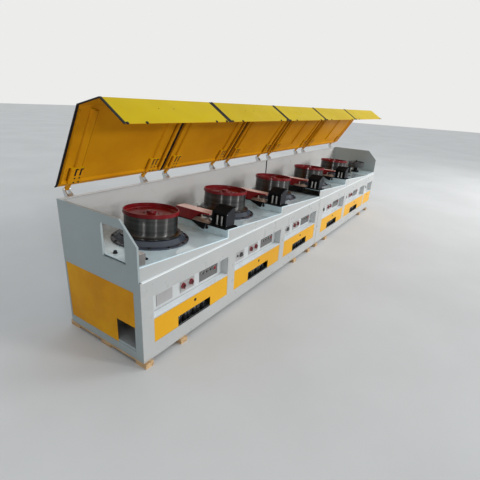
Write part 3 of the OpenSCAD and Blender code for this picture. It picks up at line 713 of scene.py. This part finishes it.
up = facing_on_deck(0, 0, 1)
ring_bolts = []
for put in map(on_capstan, range(5)):
    ring_bolts += round_a_circle(put, BOLT_CIRCLE, FLANGE_TOP, range(15, 375, 30), up)
fasten("ring_bolts", ring_bolts, 12, 9, hex_heads, dark_steel, "machine")

# Capstan drums: cast drums with a ground drawing face and a flared foot. Work polishes the
# face, and fine bands of grinding stay round it. The steel's colour is kept very dark as a
# painted reflection of dark surroundings.
LETTERS = "abcde"
# Very dark base colour: painted reflection of dark surroundings on the ground steel.
ground_steel_dark_reflection, tree, shader = coating("ground_steel_dark_reflection", (0.20, 0.195, 0.185), 0.24, metal=1.0)
where = wire_up(tree, "ShaderNodeTexCoord")
height = wire_up(tree, "ShaderNodeVectorMath", {
    0: where.outputs["Object"], 1: (math.sin(TILT), 0.0, math.cos(TILT))
}, operation="DOT_PRODUCT")
grinding = wire_up(tree, "ShaderNodeTexNoise", {
    "W": height.outputs["Value"], "Scale": 26.0, "Detail": 4.0, "Roughness": 0.6
}, noise_dimensions="1D").outputs["Fac"]
two_tone(tree, shader, grinding, (0.052, 0.0515, 0.051), (0.095, 0.094, 0.092), 0.30, 0.72)
dull(tree, shader, grinding, 0.36, 0.28)
skin(tree, shader, grinding, 0.0001, 0.2)
shader.inputs["Anisotropic"].default_value = 1.0
shader.inputs["Anisotropic Rotation"].default_value = 0.25
round_about = wire_up(tree, "ShaderNodeTangent", direction_type="RADIAL", axis="Z")
tree.links.new(round_about.outputs[0], shader.inputs["Tangent"])
dress(ground_steel_dark_reflection, *["drum_" + q for q in LETTERS])

# Red dishes: turned rims that close the tops of the drums round a hub.
# Deep red gloss paint, with six hub screws and four pull-off screws in each floor.
deep_red, tree, shader = sprayed(
    "deep_red", (0.13, 0.0025, 0.005), (0.17, 0.004, 0.008), 0.30,
    coat=0.1, cloud=3.0, peel=0.00003, shine=0.15
)
dress(deep_red, *["rim_" + q for q in LETTERS])
HUB_CIRCLE, PULL_CIRCLE, DISH_FLOOR = 72.0, 212.0, 264.0
for i, q in enumerate(LETTERS):
    put = on_capstan(i)
    fasten(
        f"rim_{q}_screws",
        round_a_circle(put, HUB_CIRCLE, DISH_FLOOR, range(10, 370, 60), up)
        + round_a_circle(put, PULL_CIRCLE, DISH_FLOOR, range(0, 360, 90), up),
        8, 7, hex_heads, deep_red, f"capstan_{q}"
    )
    hub = Stock()
    hub.turned(put, [
        (0, 272), (20, 272), (26, 286), (26, 290.2), (13, 290.6), (12, 280), (0, 280)
    ], 28)
    hub.made(f"rim_{q}_hub", deep_red, f"capstan_{q}", "red_paint")

# Die stations: a base plate on each riser carries a guide tower and a die box.
# Black painted plate and castings, bolted to the deck, with a hanging clamp knob.
station_black, tree, shader = sprayed(
    "station_black", (0.004, 0.0045, 0.005), (0.010, 0.011, 0.012), 0.62,
    coat=0.0, cloud=6.0, shine=0.05
)
dress(station_black, "die_bases", "guide_towers", "inlet_stand", "inlet_guide")


def on_riser(i):
    """Places in mm on the upper edge of deck i, square to it."""
    return on_deck(i, deck_start[i], 0)


def beside(put, x, y=0.0, z=0.0):
    """The same places, counted from another point of the same piece."""
    return lambda a, b, c: put(x + a, y + b, z + c)


PLATE_TOP, TOWER_TOP = 12.0, 226.0
tower_bolts, base_bolts, knobs = [], [], Stock()
for put in map(on_riser, (1, 2, 3, 4)):
    base_bolts += [(put(x, y, PLATE_TOP), up) for x, y in (
        (-24, 42), (-24, 146), (-24, 246), (168, 42), (166, 274), (134, 273)
    )]
    tower_bolts += [(put(134, y, TOWER_TOP), up) for y in (86, 234)]
    knobs.turned(beside(put, -20, 304), [
        (0, -52), (11, -52), (15, -48), (15, -34), (12, -30), (10, -26), (0, -26)
    ], 24)
fasten("base_bolts", base_bolts, 8, 7, hex_heads, dark_steel, "machine")
fasten("tower_cap_bolts", tower_bolts, 8, 7, hex_heads, dark_steel, "machine")
knobs.made("clamp_knobs", black_rubber, "machine", "dark_paint")

# Tower faces: a flat sheet on the front of each guide tower, under its sloping top.
# Dark grey paint, and four plated screws at the corners.
tower_grey, tree, shader = sprayed(
    "tower_grey", (0.014, 0.015, 0.018), (0.024, 0.026, 0.030), 0.5,
    coat=0.0, cloud=5.0, shine=0.15
)
TOWER_FRONT, SHEET_THICK = 62.0, 2.5
sheets, sheet_screws = Stock(), []
for put in map(on_riser, (1, 2, 3, 4)):
    def off_the_front(a, b, c, put=put):
        return put(a, TOWER_FRONT - c, b)

    sheets.slab(off_the_front, [
        (4, 18), (162, 18), (162, 214), (118, 214), (4, 160)
    ], 0.0, SHEET_THICK)
    sheet_screws += [(off_the_front(a, b, SHEET_THICK), (0, -1, 0)) for a, b in (
        (12, 26), (154, 26), (154, 206), (12, 152)
    )]
sheets.made("tower_faces", tower_grey, "machine", "dark_paint", soften=0.6)
fasten("tower_face_screws", sheet_screws, 4, 2.5, pan_heads, zinc, "machine")

# Guide pins: two upright pins side by side in the open front of each tower.
# Ground hard steel with a rounded top, pressed into the tower floor.
bright_pin, tree, shader = coating("bright_pin", (0.34, 0.335, 0.32), 0.3, metal=1.0)
dull(tree, shader, mottle(tree, 80.0), 0.26, 0.38)
dress(bright_pin, "guide_pins")

# Die covers: folded and welded boxes with an open mouth under an overhanging lid.
# The same deep red paint, with a pale pink laid on its upward faces as painted sheen, a pale
# strip along the lid's front edge as a painted highlight, two hinge barrels at its back and
# four screws.


def facing_up(tree, low, high):
    """How far a surface faces up: 0 at a slope of low, and 1 at a slope of high."""
    where = wire_up(tree, "ShaderNodeTexCoord")
    apart = wire_up(tree, "ShaderNodeSeparateXYZ", {0: where.outputs["Normal"]})
    return wire_up(tree, "ShaderNodeMapRange", {
        "Value": apart.outputs["Z"], "From Min": low, "From Max": high
    }).outputs["Result"]


def pale_on_upward_faces(tree, shader, colour):
    """A pale colour laid on the surfaces that face up."""
    overlay(tree, shader, facing_up(tree, 0.85, 0.98), colour)


cover_red, tree, shader = sprayed(
    "cover_red", (0.24, 0.008, 0.012), (0.29, 0.012, 0.017), 0.34,
    coat=0.1, cloud=3.0, peel=0.00003
)
# Pale pink on the upward faces of the covers: painted sheen, the reflection of the light on
# the red lid.
pale_on_upward_faces(tree, shader, (0.90, 0.66, 0.62))
dress(cover_red, "die_covers")
# Pale red for the strip along each lid's front edge: a painted highlight.
lid_highlight_paint, tree, shader = coating("lid_edge_highlight", (0.62, 0.36, 0.32), 0.4, coat=0.2)
two_tone(tree, shader, mottle(tree, 30.0), (0.50, 0.20, 0.18), (0.72, 0.50, 0.45))
LID_TOP, BARREL_Y, BARREL_Z = 130.0, 769.0, 124.0
edges, barrels, lid_screws = Stock(), Stock(), []
for put in map(on_riser, (1, 2, 3, 4)):
    edges.block(put, (-39, 261.4, 114), (119, 263.9, LID_TOP))
    for x in (-26, 66):
        def along_the_lid(a, b, c, put=put, x=x):
            return put(x + c, BARREL_Y + a, BARREL_Z + b)

        barrels.turned(along_the_lid, [(0, 0), (5, 0), (5, 40), (0, 40)], 16)
    lid_screws += [(put(x, y, LID_TOP), up) for x in (-28, 108) for y in (290, 745)]
edges.made("lid_edge_highlights", lid_highlight_paint, "machine", "red_paint", soften=0.8)
barrels.made("lid_hinges", dark_steel, "machine", "dark_paint")
fasten("lid_screws", lid_screws, 5, 3, pan_heads, cover_red, "machine")

# Die holders: a beige tray in each mouth, with the round holder of the die on it.
# Cast and painted, with a bright clamp bolt and a hardened insert.
beige, tree, shader = sprayed(
    "beige_casting", (0.42, 0.31, 0.24), (0.56, 0.43, 0.34), 0.4, cloud=8.0
)
dress(beige, "die_holders")
inserts, holder_bolts = Stock(), []
for put in map(on_riser, (1, 2, 3, 4)):
    die = beside(put, 40, 346)
    inserts.turned(die, [
        (0, 51), (13, 51), (13, 57), (10, 60), (5, 60), (4, 56), (0, 56)
    ], 28)
    holder_bolts += round_a_circle(die, 37, 37, range(30, 390, 90), up)
    holder_bolts.append((put(44, 436, 73), up))
inserts.made("die_inserts", bright_pin, "machine", "pin_steel")
fasten("holder_bolts", holder_bolts, 6, 5, hex_heads, zinc, "machine")

# Hoods: tip-up safety covers, each folded from one sheet with a hem at its back, and stiffened
# inside by channels, end returns and a box behind each hinge. One yellow paint, lemon on the
# faces that point up and amber on those that point down, a difference painted for light and
# shade. Thin brown strips beside the channels, the end returns and the boxes are painted
# shade, as are the dark plates in the slots of the boxes and the two black discs in the holes
# of each flap.
hood_paint, tree, shader = coating("hood_paint", (0.62, 0.47, 0.008), 0.4)
shader.inputs["Specular IOR Level"].default_value = 0.05
cloud = mottle(tree, 1.6, 4.0)
# Lemon where the sheet faces up and amber under it: painted light and shade on one paint.
lit_lemon = drift(tree, cloud, (0.49, 0.345, 0.001), (0.55, 0.40, 0.002))
shaded_amber = drift(tree, cloud, (0.57, 0.228, 0.005), (0.67, 0.29, 0.007))
both = wire_up(tree, "ShaderNodeMix", {
    0: facing_up(tree, 0.15, 0.45), 6: shaded_amber, 7: lit_lemon
}, data_type="RGBA")
tree.links.new(both.outputs[2], shader.inputs["Base Color"])
dull(tree, shader, mottle(tree, 9.0), 0.36, 0.48)
skin(tree, shader, mottle(tree, 180.0), 0.0002, 0.25)
dress(hood_paint, *["hood_" + q for q in LETTERS])
dress(black_rubber, *["edging_" + q for q in LETTERS])
# Brown for thin strips beside the channels, end returns and boxes: painted shade.
shade_line_brown, tree, shader = sprayed(
    "shade_line_brown", (0.22, 0.08, 0.002), (0.30, 0.11, 0.003), 0.5, coat=0.0, shine=0.05
)

OPEN = math.radians(-57.6)
HINGE_Y, HINGE_Z, HOOD_FOOT, HOOD_FRONT = 1179.0, 1384.0, 824.0, 10.0
SHEET, BOX_DEEP, SHADE_LINE_THICK = 1339.0, 22.0, 2.5
FOLD_START, BOX_START, FOLD_END = 262.0, 868.0, 1050.0
hood_ends = [(2.5, 1268), (1312, 2568), (2612, 3859), (3903, 5366), (5410, 7350)]
hinge_x = [(start + 150, end - 170) for start, end in hood_ends]


def on_hood(x, y, z):
    """A place in mm on a closed hood, as it is in the open hood."""
    b, c = y - HINGE_Y, z - HINGE_Z
    return at(x, HINGE_Y + b*math.cos(OPEN) - c*math.sin(OPEN),
              HINGE_Z + b*math.sin(OPEN) + c*math.cos(OPEN))


def facing_on_hood(a, b, c):
    """A direction on a closed hood, as it is on the open hood."""
    return (a, b*math.cos(OPEN) - c*math.sin(OPEN), b*math.sin(OPEN) + c*math.cos(OPEN))


def under_sheet(a, b, c):
    """Places in mm under the hood's top sheet: across, down from it, and backwards."""
    return on_hood(a, c, SHEET - b)


def along_hem(a, b, c):
    """Places in mm at the hem: backwards, down from the sheet, and across."""
    return on_hood(c, a, SHEET - b)


def box_face(x, y):
    """Places in mm from a point on the face of a hinge box, the third axis out of it."""
    return lambda a, b, c: on_hood(x + a, y + b, SHEET - BOX_DEEP - c)


for (start, end), hinges, q in zip(hood_ends, hinge_x, LETTERS):
    folds, shade_lines, slot_shades, screws = Stock(), Stock(), Stock(), []
    left, inner = start + 24, end - (30 if q == "e" else 4)
    for x in hinges:
        folds.slab(under_sheet, [
            (x - 8, 0), (x - 8, 15), (x + 46, 15), (x + 54, 0)
        ], FOLD_START, 872)
        # Thin brown strips along each channel's sides and the box's side: painted shade.
        for a, b, y0, y1 in ((-22, -8, 264, 868), (54, 60, 264, 868), (-68, -56, 872, 1046)):
            shade_lines.slab(under_sheet, [
                (x + a, 0), (x + b, 0), (x + b, SHADE_LINE_THICK), (x + a, SHADE_LINE_THICK)
            ], y0, y1)
        folds.slab(under_sheet, [
            (x - 56, 0), (x - 54, BOX_DEEP), (x + 70, BOX_DEEP), (x + 74, 0)
        ], BOX_START, FOLD_END)
        # Dark steel plates laid in the slots of each box: painted shade in the slots.
        for side in (-4, 46):
            put = box_face(x + side, 876)
            slot_shades.slab(put, rounded(-8, 0, 8, 82, 6), 0.0, 1.2)
            slot_shades.slab(put, rounded(-8, -2, 24, 12, 5), 0.0, 1.2)
        screws += [
            (on_hood(x + a, y, SHEET - BOX_DEEP), facing_on_hood(0, 0, -1))
            for a in (0, 48) for y in (986, 1038)
        ]
    for x0, x1 in ((left, left + 6), (inner - 31, inner)):
        folds.slab(under_sheet, [(x0, 0), (x0, 24), (x1, 24), (x1, 0)], FOLD_START, FOLD_END)
    # Thin brown strips beside the end returns: painted shade.
    for x0, x1 in ((left + 6, left + 12), (inner - 45, inner - 31)):
        shade_lines.slab(under_sheet, [(x0, 0), (x1, 0), (x1, SHADE_LINE_THICK), (x0, SHADE_LINE_THICK)], 264, 1016)
    folds.slab(along_hem, [(1018, 0), (1046, 13), (1050, 13), (1050, 0)], left, inner)
    folds.made(f"hood_{q}_folds", hood_paint, f"hood_{q}", "hood_paint", soften=1.0)
    shade_lines.made(f"hood_{q}_seams", shade_line_brown, f"hood_{q}", "hood_paint")
    slot_shades.made(f"hood_{q}_slots", dark_steel, f"hood_{q}", "dark_paint")
    fasten(f"hood_{q}_screws", screws, 8, 3, pan_heads, dark_steel, f"hood_{q}")
    bumpers_and_hole_shades = Stock()
    for x in (start + 30, start + 215, end - 190, end - 30):
        bumpers_and_hole_shades.turned(lambda a, b, c, x=x: on_hood(x + 1.5*a, 9 + b, HOOD_FOOT - c), [
            (0, -14), (8, -14), (8, 0), (6, 2.4), (0, 2.4)
        ], 20)
    # Two black discs on the flap stand for its holes: painted shade in them.
    for share in (0.38, 0.52):
        x = start + share*(end - start)
        bumpers_and_hole_shades.turned(lambda a, b, c, x=x: on_hood(x + a, HOOD_FRONT - c, 1010 + b), [
            (0, 0), (5, 0), (5, 1.2), (0, 1.6)
        ], 12)
    bumpers_and_hole_shades.made(f"hood_{q}_bumpers", black_rubber, f"hood_{q}", "edging_rubber")

# Hinges: brackets of plated steel, two to a hood, bolted to the back wall.
# A pin goes through both cheeks of each, with a turned cap at either end.
plated, tree, shader = coating("plated_steel", (0.60, 0.61, 0.61), 0.30, metal=1.0)
dull(tree, shader, mottle(tree, 30.0), 0.22, 0.42)
dress(plated, "hinge_brackets")
CHEEK, FOOT_FACE = 30.0, BACK_FACE + 10.0
hinge_bolts, caps = [], Stock()
for hinges in hinge_x:
    for x in hinges:
        hinge_bolts += [(at(x, FOOT_FACE, z), (0, 1, 0)) for z in (1190, 1240)]
        for side in (-1, 1):
            def out_of_cheek(a, b, c, x=x, side=side):
                return at(x + side*(CHEEK + c), HINGE_Y + a, HINGE_Z + b)

            caps.turned(out_of_cheek, [(0, 0), (13, 0), (13, 3), (9, 6), (0, 6.5)], 24)
caps.made("hinge_pin_caps", plated, "machine", "hinge_steel")
fasten("hinge_bolts", hinge_bolts, 8, 6, hex_heads, zinc, "machine")

# Inlet: a grooved wheel that runs free on its pedestal at the right end.
# Turned cast iron in dark paint, with zinc bolts, on a pedestal bolted to the level deck.
wheel_iron, tree, shader = coating("wheel_iron", (0.040, 0.041, 0.043), 0.42, metal=0.2)
two_tone(tree, shader, mottle(tree, 14.0), (0.026, 0.027, 0.029), (0.050, 0.051, 0.053))
dull(tree, shader, mottle(tree, 40.0), 0.3, 0.5)
dress(wheel_iron, "inlet_wheel")
INLET_X = 6640.0
INLET_Z = DECK_TOP - (INLET_X - deck_start[4])*math.tan(TILT)
on_inlet = beside(at, 6990.0, 380.0, INLET_Z)
fasten(
    "wheel_bolts", round_a_circle(on_inlet, 120, 206.3, range(0, 360, 60), (0, 0, 1)),
    9, 7, hex_heads, zinc, "inlet_wheel"
)
fasten(
    "pedestal_bolts", round_a_circle(on_inlet, 68, 24, range(45, 405, 90), (0, 0, 1)),
    8, 6, hex_heads, dark_steel, "machine"
)
nut = Stock()
nut.turned(on_inlet, [
    (0, 242), (36, 242), (36, 246), (22, 250), (22, 262), (18, 266), (0, 266)
], 32)
nut.made("wheel_nut", dark_steel, "machine", "dark_paint")

# Outlet guide: a small open box of sheet steel on the first deck, at the left end.
# Brown-grey paint, paler on the faces that point up, and four screws that hold the top down.
outlet_paint, tree, shader = sprayed(
    "outlet_paint", (0.13, 0.125, 0.12), (0.18, 0.172, 0.165), 0.40, cloud=9.0
)
pale_on_upward_faces(tree, shader, (0.50, 0.48, 0.46))
dress(outlet_paint, "outlet_guide")
put = on_deck(0, 20, 40)
fasten("outlet_bolts", [
    (put(x, y, 100), up) for x in (14, 66) for y in (16, 74)
], 5, 3, pan_heads, zinc, "machine")
